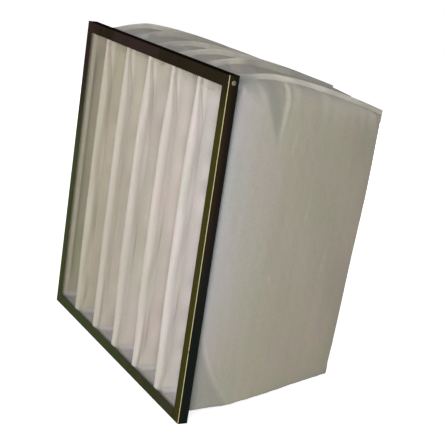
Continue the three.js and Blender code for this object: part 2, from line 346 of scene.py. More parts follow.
def hem_ring(depth, inset, upright, inner, index):
    """A ring of the hem. inset and upright are how far its sides and its ends stand in."""
    half_x = MOUTH_HALF_WIDTH - inset
    half_z = MOUTH_HALF_HEIGHT - upright
    corner = max(HEM_CORNER - inset, HEM_CORNER_LEAST)
    base = half_x - corner
    upper, lower = (base, base / 2, corner, 0.0), (base, corner)
    ring = whole_ring(half_ring(half_x, HALF + half_z, HALF - half_z, upper, lower))
    x, z = ring[:, 0], ring[:, 1]
    y = np.full_like(z, depth)
    swollen = y.copy()
    walls = [right for right in (False, True) if divides(index, right)]
    for right in walls:
        share = np.clip((FORWARD_FROM - depth) / (FORWARD_FROM - NOSE), 0.0, 1.0)
        swollen -= ((x > 0) == right) * share * forward(index, right, z)
    if inner:
        round_off = min(1.0, (depth - NOSE) / NOSE_ROUND)
        nose = (HEM_INSET - NOSE_INSET) * (math.sqrt(1 - (1 - round_off) ** 2) - 1)
        turn = float(smooth(depth, SIDES_TURN_FROM, HEM_END))
        lip = (LIP_INSET - HEM_INSET) * turn
        wanted = np.full_like(z, HEM_INSET + nose + lip)
        for right in walls:
            standing = HEM_INSET + nose + ridge(y, z, seed_of(index, right))
            wanted = np.where((x > 0) == right, standing, wanted)
        x = x * (MOUTH_HALF_WIDTH - wanted) / half_x
    return np.stack([x, swollen, z], 1)


def hem_grid(index):
    rings = []
    for depth in HEM_ROWS:
        turn = float(smooth(depth, ENDS_TURN_FROM, HEM_END))
        upright = mix(HEM_INSET, LIP_INSET_UPRIGHT, turn)
        rings.append(hem_ring(depth, HEM_INSET, upright, True, index))
    rings += [hem_ring(depth, inset, inset, False, index) for depth, inset in NOSE_ROWS]
    return np.array(rings)


# Folds in the outer panel on the right, as (depth, height) down each line: a long fold under
# the seam, soft in front and sharp behind, a tuck beside the header, and a crease at the foot
FOLD_SOFT = ((0.062, 0.590), (0.079, 0.546), (0.095, 0.506), (0.106, 0.475))
FOLD_SHARP = ((0.123, 0.590), (0.119, 0.555), (0.115, 0.520), (0.112, 0.479), (0.111, 0.470))
FOLD_END = 0.470
FOLD_TOP = 0.560
FOLD_DEEP = 0.0052
FOLD_CURVE = 1.3
FOLD_NARROWEST = 0.002
FOLD_EDGE = (-0.0005, 0.0018)
FOLD_LUMP = (0.0006, 0.005, 0.004)
TUCK_LINE = ((0.040, 0.590), (0.030, 0.568), (0.021, 0.550), (0.014, 0.535))
TUCK_DEEP = 0.005
TUCK_EDGE = 0.004
TUCK_HEIGHTS = (0.530, 0.560)
CREASE_LINE = (
    (0.012, 0.175), (0.018, 0.153), (0.039, 0.098), (0.060, 0.059), (0.086, 0.028), (0.094, 0.012),
)
CREASE_DEEP = 0.003
CREASE_RUN = 0.07
CREASE_EDGE = (-0.003, 0.001)
CREASE_LUMP = (0.0006, 0.004, 0.006)
CREASE_FOOT = (0.012, 0.040)
CREASE_HEAD = (0.10, 0.175)


def right_panel_folds(y, z):
    """How far those folds push the panel outwards."""
    soft, sharp = line_at(FOLD_SOFT, z), line_at(FOLD_SHARP, z)
    across = np.clip((y - soft) / np.maximum(sharp - soft, FOLD_NARROWEST), 0, 1)
    fallen = across ** FOLD_CURVE * (1 - smooth(y - sharp, *FOLD_EDGE))
    fold = -FOLD_DEEP * fallen + stroke(y - sharp, FOLD_LUMP)
    fold *= smooth(z, FOLD_END, FOLD_TOP)
    tuck = line_at(TUCK_LINE, z)
    fold -= TUCK_DEEP * (1 - smooth(y, tuck - TUCK_EDGE, tuck)) * smooth(z, *TUCK_HEIGHTS)
    crease = line_at(CREASE_LINE, z)
    low = smooth(z, *CREASE_FOOT) * (1 - smooth(z, *CREASE_HEAD))
    in_front = 1 - smooth(y - crease, *CREASE_EDGE)
    fold -= CREASE_DEEP * low * in_front * smooth(y, crease - CREASE_RUN, crease)
    fold += low * stroke(y - crease, CREASE_LUMP)
    return fold


# Painted shade in them: a wedge in the long fold, thinner towards its sharp side, the corner in
# front of the crease and the nook in front of the tuck
WEDGE_SHADE = 0.95
WEDGE_THINNING = 0.6
WEDGE_THIN_EDGE = 0.004
WEDGE_FRONT = (-0.004, 0.010)
WEDGE_BACK = (-0.002, 0.001)
WEDGE_RISE = 0.045
CORNER_SHADE = 0.8
CORNER_EDGE = (-0.002, 0.002)
NOOK_SHADE = 0.25
NOOK_EDGE = 0.003
NOOK_HEIGHTS = (0.540, 0.556)


def right_panel_fold_shade(y, z):
    """How much shade is painted in those folds, from 0 to 1."""
    soft, sharp = line_at(FOLD_SOFT, z), line_at(FOLD_SHARP, z)
    thinned = smooth(y, mix(soft, sharp, 0.5), sharp - WEDGE_THIN_EDGE)
    wedge = WEDGE_SHADE * (1 - WEDGE_THINNING * thinned) * smooth(y - soft, *WEDGE_FRONT)
    wedge *= 1 - smooth(y - sharp, *WEDGE_BACK)
    wedge *= smooth(z, FOLD_END, FOLD_END + WEDGE_RISE)
    crease = line_at(CREASE_LINE, z)
    corner = CORNER_SHADE * (1 - smooth(y - crease, *CORNER_EDGE))
    corner *= 1 - smooth(z, *CREASE_HEAD)
    tuck = line_at(TUCK_LINE, z)
    nook = NOOK_SHADE * (1 - smooth(y, tuck - NOOK_EDGE, tuck)) * smooth(z, *NOOK_HEIGHTS)
    return np.maximum(np.maximum(wedge, corner), nook)


# Faint creases in the same panel, drawn only as painted highlights, each from its upper to its
# lower end, and one pale spot
CREASE_HIGHLIGHTS = (
    ((0.079, 0.417), (0.061, 0.378)), ((0.045, 0.334), (0.036, 0.308)),
    ((0.150, 0.512), (0.141, 0.455)), ((0.205, 0.395), (0.196, 0.330)),
    ((0.118, 0.300), (0.104, 0.262)), ((0.262, 0.300), (0.250, 0.236)),
)
CREASE_HIGHLIGHT_HALF_WIDTH = 0.0016
CREASE_HIGHLIGHT_STRENGTH = 0.30
SPOT = (0.139, 0.247)
SPOT_RADIUS = 0.004
SPOT_PALE = 0.5


def crease_highlights(y, z):
    pale = SPOT_PALE * np.exp(-((y - SPOT[0]) ** 2 + (z - SPOT[1]) ** 2) / SPOT_RADIUS ** 2)
    for (y_top, z_top), (y_low, z_low) in CREASE_HIGHLIGHTS:
        share = (z - z_low) / (z_top - z_low)
        across = y - mix(y_low, y_top, share)
        ends = smooth(share, 0.0, 0.3) * (1 - smooth(share, 0.7, 1.0))
        pale = pale + CREASE_HIGHLIGHT_STRENGTH * ends * bump(across, CREASE_HIGHLIGHT_HALF_WIDTH)
    return pale


# A straight upright crease at the foot of each mouth's left wall, painted only: a painted
# highlight at this depth with painted shade behind it
FOOT_DEPTH = -0.002
FOOT_SHIFTS = (0.0, 0.004, 0.0, 0.006, -0.002, 0.003)
FOOT_SHADE = (0.8, 0.0040, 0.0030)
FOOT_HIGHLIGHT = (1.0, 0.0, 0.0022)
FOOT_FROM = 0.020
FOOT_FADE_IN = (0.018, 0.026)
FOOT_FADE_OUT = (0.075, 0.135)


def foot_crease_shading(index, y, z):
    behind = y - FOOT_DEPTH - FOOT_SHIFTS[index]
    fade = (z > FOOT_FROM) * smooth(z, *FOOT_FADE_IN) * (1 - smooth(z, *FOOT_FADE_OUT))
    return fade * (stroke(behind, FOOT_SHADE) - stroke(behind, FOOT_HIGHLIGHT))


# A pleat beside each divider's ridge where the cloth is pinched, under the top flange: a line of
# painted shade with a painted highlight behind it
PLEAT_HEIGHTS = (0.455, 0.525)
PLEAT_SHADE = (1.1, 0.0012, 0.0016)
PLEAT_HIGHLIGHT = (0.5, 0.0054, 0.0020)


def pleat_shading(index, y, z):
    behind = y - crease_depth(z, seed_of(index, False))
    return (stroke(behind, PLEAT_SHADE) - stroke(behind, PLEAT_HIGHLIGHT)) * smooth(z, *PLEAT_HEIGHTS)


# The far slope of each ridge is painted lighter in the lower half of the mouth: painted light over
# its shade
SLOPE_LIGHT_HEIGHTS = (0.24, 0.42)
SLOPE_LIGHT = (0.8, 0.0025, 0.0060)


def slope_light(index, y, z):
    behind = y - crease_depth(z, seed_of(index, False))
    return -stroke(behind, SLOPE_LIGHT) * (1 - smooth(z, *SLOPE_LIGHT_HEIGHTS))


# A loop of slack cloth under the top flange, as (depth, height) along it. One mouth has it deep,
# in form and in painted shade and highlight. Four have it fainter and lower, painted alone, and
# the first has none.
SAG_POCKET = 3
SAG_SHARES = (0.0, 0.35, 0.30, 1.0, 0.30, 0.45)
SAG_SHIFTS = (0.0, -0.012, -0.004, 0.0, -0.007, -0.010)
SAG_LINE = (
    (-0.004, 0.5700), (0.004, 0.5610), (0.016, 0.5565), (0.028, 0.5590), (0.040, 0.5660),
)
SAG_SHADE = (1.4, 0.0050, 0.0028)
SAG_HIGHLIGHT = (1.5, 0.0, 0.0026)
SAG_PUSH = (0.0022, 0.0, 0.004)
SAG_BACK = 0.016


def above_sag(y, z):
    depths, heights = np.array(SAG_LINE).T
    return z - np.interp(y, depths, heights)


def sag_shading(index, y, z):
    above = above_sag(y, z - SAG_SHIFTS[index])
    return SAG_SHARES[index] * (stroke(above, SAG_SHADE) - stroke(above, SAG_HIGHLIGHT))


def sag_push(y, z):
    return -stroke(above_sag(y, z), SAG_PUSH) * smooth(y, REAR_PLANE, SAG_BACK)


# The outermost walls belly out as soon as they are past the header's rear lip, the others less
BELLY = 0.0050
BELLY_RISE = 0.007
BELLY_RUN = 0.100
BELLY_INNER = 0.35
BELLY_FOOT = (0.02, 0.07)
BELLY_HEAD = (0.015, 0.07)


def belly(y):
    back = np.maximum(y - REAR_PLANE, 0.0)
    return BELLY * (1 - np.exp(-back / BELLY_RISE)) * np.exp(-back / BELLY_RUN)


# How far a pocket as a whole wanders to either side, at its free back edge
LIMP = 0.0085
LIMP_OUTERMOST = 0.0022
LIMP_FROM = 0.05
LIMP_CURVE = 1.2


def limp(index, y, z):
    size = LIMP_OUTERMOST if index == COUNT - 1 else LIMP
    reach = smooth(y, LIMP_FROM, REACH) ** LIMP_CURVE
    return size * reach * ripple(LIMP_FOLDS, 140 + index, y, z)


# Soft folds that run back from the mouth where the wall is gathered onto its strip
DRAPE = 0.0026
DRAPE_PEAK = 0.11
DRAPE_SLANT = 0.25


def drape(index, side, y, z):
    along = np.maximum(y - REAR_PLANE, 0) / DRAPE_PEAK
    swell = along * np.exp(1 - along)
    return DRAPE * swell * ripple(DRAPE_FOLDS, 170 + 2 * index + side, z, DRAPE_SLANT * y)


def outward_normal(grid):
    """The cloth's normal at each point, pointing out of the pocket."""
    across = np.roll(grid, -1, 1) - np.roll(grid, 1, 1)
    along = np.gradient(grid, axis=0)
    normal = np.cross(across, along)
    normal /= np.maximum(np.linalg.norm(normal, axis=2, keepdims=True), 1e-12)
    middle = grid.mean(1, keepdims=True)
    return normal * np.sign(((grid - middle) * normal)[..., 0:1].sum())


# Where the cloth comes free: behind the header, under the seam, and in front of the back edge,
# where a share of its freedom is left
FREE_BEHIND = (0.001, 0.030)
FREE_BEHIND_OUTERMOST = (0.0, 0.010)
HELD_SEAM = (-0.004, 0.001)
BACK_HELD = (0.0, 0.03)
BACK_FREE = 0.25
# How far below the seam and above the bottom the gathers reach
GATHER_RUN = 0.030
FOOT_RUN = 0.025


def freedom(index, right, y, z, top):
    """0 where the cloth is held and can't leave its plain form, 1 where it is free."""
    free = smooth(y - REAR_PLANE, *FREE_BEHIND)
    if index == COUNT - 1:
        free = np.where(right, smooth(y - REAR_PLANE, *FREE_BEHIND_OUTERMOST), free)
    free = free * (1 - smooth(z - top + SEAM, *HELD_SEAM))
    return free * mix(BACK_FREE, 1.0, smooth(y.max() - y, *BACK_HELD))


def dressed(index, grid):
    """Moves the body's points in and out along the cloth's normal: sag, wrinkles and folds."""
    x, y, z = grid[..., 0], grid[..., 1], grid[..., 2]
    # On the middle lines and at the closed back edge this mean's last digit decides the side
    right = x > grid.mean(1, keepdims=True)[..., 0]
    top = z.max(1, keepdims=True)
    low = z.min(1, keepdims=True)
    last = index == COUNT - 1
    seed = 20 * index
    push = np.zeros_like(x)
    for side, mask in ((0, ~right), (1, right)):
        wide = ripple(BROAD_SAG, seed + side, y, z)
        fine = ripple(FINE_WRINKLES, seed + side + 5, y, z)
        gather = ripple(SEAM_GATHERS, seed + side + 9, y, z)
        gather *= np.exp(-np.maximum(top - SEAM - z, 0) / GATHER_RUN)
        foot = ripple(FOOT_GATHERS, seed + side + 12, y, z)
        foot *= np.exp(-np.maximum(z - low, 0) / FOOT_RUN)
        # The outer panel on the right is taut, with the folds below in place of drapes
        loose = 0.0 if last and side == 1 else 1.0
        push += mask * (wide + fine + gather + foot + loose * drape(index, side, y, z))
    if last:
        push += right * right_panel_folds(y, z)
    if index == SAG_POCKET:
        push += ~right * sag_push(y, z)
    push = push * freedom(index, right, y, z, top)
    outer = right if last else ~right & (index == 0)
    level = smooth(z - low, *BELLY_FOOT) * smooth(top - SEAM - z, *BELLY_HEAD)
    push += np.where(outer, 1.0, BELLY_INNER) * belly(y) * level
    return grid + outward_normal(grid) * push[..., None]


# The seam sways to either side, most at its edge
SWAY_HEIGHT = 0.022
SWAY_FROM = (0.03, 0.10)


def pocket_grid(index):
    """The points of one pocket, ring by ring from its back to the end of its hem."""
    rise, drop, reach, swing = HANGS[index]
    hang = (rise * ARCH_RISE, drop * END_DROP, reach * REACH, swing * SWING)
    shares = 1 - (np.arange(BODY_RINGS) / (BODY_RINGS - 1))
    shares = mix(shares, shares ** RING_CROWDING, 0.5)
    ends = [body_ring(hang, 1.0, c) for c in BACK_CLOSING]
    for ring, c in zip(ends, BACK_CLOSING):
        ring[:, 1] += BACK_ROUND * math.sqrt(1 - c * c)
    body = dressed(index, np.array(ends + [body_ring(hang, s) for s in shares]))
    y, z = body[..., 1], body[..., 2]
    top = z.max(1, keepdims=True)
    sway = ripple(SEAM_SWAY, 90 + index, y, 0 * y)
    body[..., 0] += sway * smooth(z, top - SWAY_HEIGHT, top) * smooth(y, *SWAY_FROM)
    for right in (False, True):
        if divides(index, right):
            side = np.sign(body[..., 0]) * ((body[..., 0] > 0) == right)
            body[..., 0] += side * crease_dip(y, z, seed_of(index, right))
    body[..., 0] += limp(index, y, z)
    grid = np.concatenate([body, hem_grid(index)])
    grid[..., 0] += (index - (COUNT - 1) / 2) * PITCH
    return grid


def add_piece(name, verts, faces):
    mesh = bpy.data.meshes.new(name)
    mesh.from_pydata(verts.tolist(), [], faces)
    mesh.polygons.foreach_set("use_smooth", [True] * len(faces))
    mesh.update()
    piece = bpy.data.objects.new(name, mesh)
    scene.collection.objects.link(piece)
    return piece


def grid_piece(name, grid):
    rows, columns = grid.shape[:2]
    faces = []
    for r in range(rows - 1):
        for c in range(columns):
            d = (c + 1) % columns
            here, behind = r * columns, (r + 1) * columns
            faces.append((here + c, behind + c, behind + d, here + d))
    return add_piece(name, grid.reshape(-1, 3), faces)


# The sewn band starts where the seam has formed. Its faces have a material of their own.
BAND_FROM = 0.030
BAND_SLOT = 2


def mark_band(piece, grid):
    in_band = grid[:, BAND_COLUMN, 1] > BAND_FROM
    slots = []
    for here, behind in zip(in_band[:-1], in_band[1:]):
        for c in range(COLUMNS):
            sewn = here and behind and BAND_COLUMN <= c < COLUMNS - BAND_COLUMN
            slots.append(BAND_SLOT if sewn else 0)
    piece.data.polygons.foreach_set("material_index", slots)


# The outer panel on the right has painted light under its seam and painted shade at its bottom
SEAM_LIGHT = 0.8
SEAM_LIGHT_RUN = 0.016
SEAM_LIGHT_FROM = (0.02, 0.05)
BOTTOM_SHADE = 0.7
BOTTOM_SHADE_RUN = 0.012
BOTTOM_SHADE_FROM = (0.09, 0.22)


def mark_painted_shading(piece, grid, index):
    """Stores how much shade is painted at each point, for the cloth's materials. Below zero is
    painted light.
    """
    x, y, z = grid[..., 0], grid[..., 1], grid[..., 2]
    painted_shading = np.zeros_like(x)
    right = x > x.mean(1, keepdims=True)
    if index == COUNT - 1:
        below = z.max(1, keepdims=True) - SEAM - z
        lightened = SEAM_LIGHT * np.exp(-np.maximum(below, 0) / SEAM_LIGHT_RUN)
        lightened *= smooth(y, *SEAM_LIGHT_FROM)
        above = z - z.min(1, keepdims=True)
        darkened = BOTTOM_SHADE * np.exp(-above / BOTTOM_SHADE_RUN) * smooth(y, *BOTTOM_SHADE_FROM)
        painted_shading = right_panel_fold_shade(y, z) + darkened - lightened - crease_highlights(y, z)
        painted_shading = painted_shading * right * (y > REAR_PLANE)
    if index > 0:
        inside = foot_crease_shading(index, y, z) + pleat_shading(index, y, z) + slope_light(index, y, z)
        painted_shading = painted_shading + inside * ~right
    painted_shading = painted_shading + sag_shading(index, y, z) * ~right
    values = piece.data.attributes.new("painted_shading", "FLOAT", "POINT")
    values.data.foreach_set("value", painted_shading.ravel())


def weld(piece):
    """Joins the points that meet where the cloth is closed, and turns the faces one way."""
    mesh = bmesh.new()
    mesh.from_mesh(piece.data)
    bmesh.ops.remove_doubles(mesh, verts=mesh.verts, dist=1e-6)
    bmesh.ops.recalc_face_normals(mesh, faces=mesh.faces)
    mesh.to_mesh(piece.data)
    mesh.free()


# Stitches: small rounded bars lying on the cloth

STITCH = 0.0032
STITCH_PITCH = 0.0052
STITCH_RADIUS = 0.00035
STITCH_START = 0.003
STITCH_FROM = 0.06
# Along a bar: share of its length, and lift and thickness as shares of the radius
BAR = ((0.0, 0.0, 0.3), (0.2, 0.9, 1.0), (0.8, 0.9, 1.0), (1.0, 0.0, 0.3))
BAR_SIDES = 6


def stitch_row(points, outward):
    """Bars along a line of points, each raised to the cloth's face by outward."""
    steps = np.linalg.norm(np.diff(points, axis=0), axis=1)
    run = np.concatenate([[0], np.cumsum(steps)])

    def place(at):
        return np.array([np.interp(at, run, points[:, i]) for i in range(3)])

    rows = []
    for start in np.arange(STITCH_START, run[-1] - STITCH, STITCH_PITCH):
        axis = place(start + STITCH) - place(start)
        axis /= np.linalg.norm(axis)
        up = outward - axis * outward.dot(axis)
        up /= np.linalg.norm(up)
        side = np.cross(axis, up)
        for share, lift, wide in BAR:
            middle = place(start + share * STITCH)
            for k in range(BAR_SIDES):
                a = 2 * math.pi / BAR_SIDES * k
                rise = up * STITCH_RADIUS * (lift + wide * math.sin(a))
                rows.append(middle + rise + side * STITCH_RADIUS * wide * math.cos(a))
    return rows


def stitch_piece(name, rows):
    faces = []
    for base in range(0, len(rows), len(BAR) * BAR_SIDES):
        for r in range(len(BAR) - 1):
            for k in range(BAR_SIDES):
                a = base + BAR_SIDES * r + k
                b = base + BAR_SIDES * r + (k + 1) % BAR_SIDES
                faces.append((a, b, b + BAR_SIDES, a + BAR_SIDES))
        far = base + (len(BAR) - 1) * BAR_SIDES
        faces.append(tuple(base + k for k in range(BAR_SIDES - 1, -1, -1)))
        faces.append(tuple(far + k for k in range(BAR_SIDES)))
    return add_piece(name, np.array(rows), faces)


# Materials


def srgb(r, g, b):
    def one(c):
        c /= 255
        return c / 12.92 if c <= 0.04045 else ((c + 0.055) / 1.055) ** 2.4
    return (one(r), one(g), one(b))


class Tree:
    """The nodes of a material or the world, with a method for each kind used here."""

    def __init__(self, owner):
        owner.use_nodes = True
        self.nodes = owner.node_tree.nodes
        self.links = owner.node_tree.links

    def add(self, kind):
        return self.nodes.new(kind)

    def plug(self, value, socket):
        if isinstance(value, bpy.types.NodeSocket):
            self.links.new(value, socket)
        elif isinstance(value, tuple):
            socket.default_value = (*value, 1.0)
        else:
            socket.default_value = value

    def noise(self, scale, detail=4.0, stretch=(1, 1, 1), rough=0.55):
        place = self.add("ShaderNodeTexCoord")
        mapping = self.add("ShaderNodeMapping")
        mapping.inputs["Scale"].default_value = stretch
        self.links.new(place.outputs["Object"], mapping.inputs["Vector"])
        texture = self.add("ShaderNodeTexNoise")
        texture.inputs["Scale"].default_value = scale
        texture.inputs["Detail"].default_value = detail
        texture.inputs["Roughness"].default_value = rough
        self.links.new(mapping.outputs["Vector"], texture.inputs["Vector"])
        return texture.outputs["Fac"]

    def ramp(self, value, stops):
        node = self.add("ShaderNodeValToRGB")
        node.color_ramp.interpolation = "EASE"
        while len(node.color_ramp.elements) < len(stops):
            node.color_ramp.elements.new(0.5)
        for element, (at, colour) in zip(node.color_ramp.elements, stops):
            element.position = at
            element.color = (*colour, 1.0)
        self.links.new(value, node.inputs["Fac"])
        return node.outputs["Color"]

    def position(self):
        place = self.add("ShaderNodeTexCoord")
        split = self.add("ShaderNodeSeparateXYZ")
        self.links.new(place.outputs["Object"], split.inputs["Vector"])
        return split.outputs["X"], split.outputs["Y"], split.outputs["Z"]

    def span(self, value, low, high):
        """0 at low, 1 at high, and smooth between."""
        node = self.add("ShaderNodeMapRange")
        node.interpolation_type = "SMOOTHSTEP"
        node.inputs["From Min"].default_value = low
        node.inputs["From Max"].default_value = high
        self.links.new(value, node.inputs["Value"])
        return node.outputs["Result"]

    def scaled(self, value, **ends):
        node = self.add("ShaderNodeMapRange")
        for end, number in ends.items():
            node.inputs[end.replace("_", " ").title()].default_value = number
        self.links.new(value, node.inputs["Value"])
        return node.outputs["Result"]

    def math(self, kind, a, b=0.0):
        node = self.add("ShaderNodeMath")
        node.operation = kind
        for socket, value in zip(node.inputs, (a, b)):
            self.plug(value, socket)
        return node.outputs["Value"]

    def product(self, first, *others):
        for other in others:
            first = self.math("MULTIPLY", first, other)
        return first

    def blend(self, kind, tone, colour, masks):
        node = self.add("ShaderNodeMix")
        node.data_type = "RGBA"
        node.blend_type = kind
        tones = [socket for socket in node.inputs if socket.type == "RGBA"]
        self.plug(self.product(*masks), node.inputs[0])
        self.plug(tone, tones[0])
        self.plug(colour, tones[1])
        return next(socket for socket in node.outputs if socket.type == "RGBA")

    def tint(self, tone, colour, *masks):
        """tone, turned towards colour by the product of the masks."""
        return self.blend("MIX", tone, colour, masks)

    def shade(self, tone, colour, strength):
        return self.blend("MULTIPLY", tone, colour, (strength,))

    def bump(self, shader, height, strength, distance):
        node = self.add("ShaderNodeBump")
        node.inputs["Strength"].default_value = strength
        node.inputs["Distance"].default_value = distance
        self.links.new(height, node.inputs["Height"])
        self.links.new(node.outputs["Normal"], shader.inputs["Normal"])


def new_material(name):
    material = bpy.data.materials.new(name)
    tree = Tree(material)
    return material, tree, tree.nodes["Principled BSDF"]


def with_painted_shading(tree, tone, dark, light):
    """Darkens the cloth by its painted shade and lightens it by its painted light. dark and light
    are (colour, strength).
    """
    shading_attribute = tree.add("ShaderNodeAttribute")
    shading_attribute.attribute_name = "painted_shading"
    tone = tree.tint(tone, dark[0], shading_attribute.outputs["Fac"], dark[1])
    return tree.tint(tone, light[0], shading_attribute.outputs["Fac"], -light[1])


def speckled(tree, tone, strength):
    """Breaks a cloth colour up into the small light and dark specks of pressed fibre."""
    specks = tree.ramp(tree.noise(330, 3.0, (1, 1, 0.7), 0.7), (
        (0.36, (0.80, 0.80, 0.79)), (0.5, (1, 1, 1)), (0.64, (1.18, 1.17, 1.15)),
    ))
    return tree.shade(tone, specks, strength)


def cloth_finish(tree, shader, tone, rough=0.92, sheen=0.1, relief=0.35):
    tree.links.new(tone, shader.inputs["Base Color"])
    shader.inputs["Roughness"].default_value = rough
    shader.inputs["Sheen Weight"].default_value = sheen
    shader.inputs["Specular IOR Level"].default_value = 0.2
    fibre = tree.noise(900, 3.0, (1, 0.45, 1), 0.7)
    felt = tree.noise(160, 5.0, (1, 1, 1), 0.6)
    tree.bump(shader, tree.math("ADD", fibre, felt), relief, 0.0012)


def outside_cloth():
    material, tree, shader = new_material("cloth_outside")
    x, y, z = tree.position()
    # Paler and bluer beside the header, the paleness being painted light; greyer and browner
    # towards the back
    tone = tree.ramp(tree.scaled(y, from_max=0.36), (
        (0.03, srgb(192, 196, 202)), (0.12, srgb(194, 191, 188)), (0.24, srgb(188, 182, 172)),
        (0.42, srgb(177, 171, 153)), (0.92, srgb(163, 154, 138)),
    ))
    tone = tree.tint(tone, srgb(170, 160, 138), tree.span(z, 0.30, 0.05), 0.35)
    spots = tree.ramp(tree.noise(14, 3.0, (1, 1, 0.7)), (
        (0.34, srgb(166, 176, 148)), (0.5, srgb(178, 174, 156)),
        (0.62, srgb(188, 173, 162)), (0.70, srgb(182, 170, 172)),
    ))
    tone = tree.tint(tone, spots, 0.30)
    # The inner pockets' crowns, painted darker: painted shade
    crown_shade = tree.product(tree.span(z, 0.580, 0.598), tree.span(x, 0.19, 0.17))
    tone = tree.tint(tone, srgb(144, 146, 144), crown_shade, 0.52)
    streak = tree.noise(60, 5.0, (0.4, 1.0, 0.12))
    dirt = tree.ramp(streak, ((0.25, (0.88, 0.87, 0.84)), (0.6, (1, 1, 1))))
    tone = tree.shade(tone, dirt, 0.4)
    # Painted shade and painted light, stored at each point of the cloth
    tone = with_painted_shading(tree, tone, (srgb(138, 138, 132), 0.50), (srgb(222, 218, 208), 0.6))
    cloth_finish(tree, shader, speckled(tree, tone, 0.22))
    return material


def band_cloth():
    """The sewn band along the top: two layers pressed flat, so smoother, and painted paler as the
    light its rounded top catches.
    """
    material, tree, shader = new_material("cloth_band")
    tone = tree.ramp(tree.noise(70, 4.0), (
        (0.3, srgb(204, 200, 184)), (0.5, srgb(214, 208, 196)), (0.7, srgb(222, 212, 206)),
    ))
    x, y, _ = tree.position()
    # The outermost pocket's band has its own colours along it
    along = tree.ramp(y, (
        (0.02, srgb(186, 184, 174)), (0.08, srgb(198, 195, 185)),
        (0.16, srgb(208, 202, 193)), (0.33, srgb(184, 178, 166)),
    ))
    patches = tree.span(tree.noise(11, 2.0, (1, 0.6, 1)), 0.42, 0.56)
    tone = tree.tint(tone, srgb(168, 167, 158), patches, 0.65)
    tone = tree.tint(tone, along, tree.span(x, 0.185, 0.20), 0.85)
    cloth_finish(tree, shader, tone, rough=0.85, relief=0.25)
    return material


def inside_cloth():
    material, tree, shader = new_material("cloth_inside")
    x, y, z = tree.position()
    # Lighter than the outside cloth, and lighter still towards the right: painted light
    tone = tree.tint(srgb(202, 194, 173), srgb(228, 219, 214), tree.span(x, -0.25, 0.08))
    # Painted light in the last mouth, and painted shade on the hems' noses, in the first mouth, in
    # the depths, and at the mouths' two ends
    tone = tree.tint(tone, srgb(238, 233, 236), tree.span(x, 0.16, 0.21), 0.7)
    tone = tree.tint(tone, srgb(176, 170, 160), tree.span(y, 0.006, -0.001), 0.42)
    tone = tree.tint(tone, srgb(158, 155, 132), tree.span(x, -0.255, -0.275), 0.8)
    depth_shade = tree.product(tree.span(y, 0.024, 0.042), tree.span(x, -0.24, -0.20))
    tone = tree.tint(tone, srgb(152, 144, 130), depth_shade, 0.45)
    tone = tree.tint(tone, srgb(166, 160, 144), tree.span(z, 0.535, 0.572), 0.45)
    tone = tree.tint(tone, srgb(186, 186, 202), tree.span(z, 0.027, 0.020), 0.6)
    # Painted shade and painted light, stored at each point of the cloth
    tone = with_painted_shading(tree, tone, (srgb(128, 122, 104), 0.5), (srgb(226, 220, 200), 0.5))
    tone = speckled(tree, tone, 0.15)
    spots = tree.ramp(tree.noise(22, 3.0, (1, 1, 0.35)), (
        (0.34, srgb(192, 196, 164)), (0.5, srgb(208, 200, 188)), (0.68, srgb(220, 196, 194)),
    ))
    tone = tree.tint(tone, spots, 0.28)
    streak = tree.noise(40, 5.0, (1.0, 1.0, 0.14))
    dirt = tree.ramp(streak, ((0.25, (0.86, 0.85, 0.81)), (0.6, (1, 1, 1))))
    cloth_finish(tree, shader, tree.shade(tone, dirt, 0.55), sheen=0.25)
    return material


def thread():
    material, tree, shader = new_material("thread")
    twist = tree.noise(1400, 2.0)
    tone = tree.ramp(twist, ((0.3, srgb(196, 190, 176)), (0.7, srgb(226, 222, 212))))
    tree.links.new(tone, shader.inputs["Base Color"])
    shader.inputs["Roughness"].default_value = 0.7
    return material


# How far the fold of the uprights' front edges is from the middle, measured across it: a highlight
# is painted there
HIGHLIGHT_FOLD = (0.30408, 0.30436)


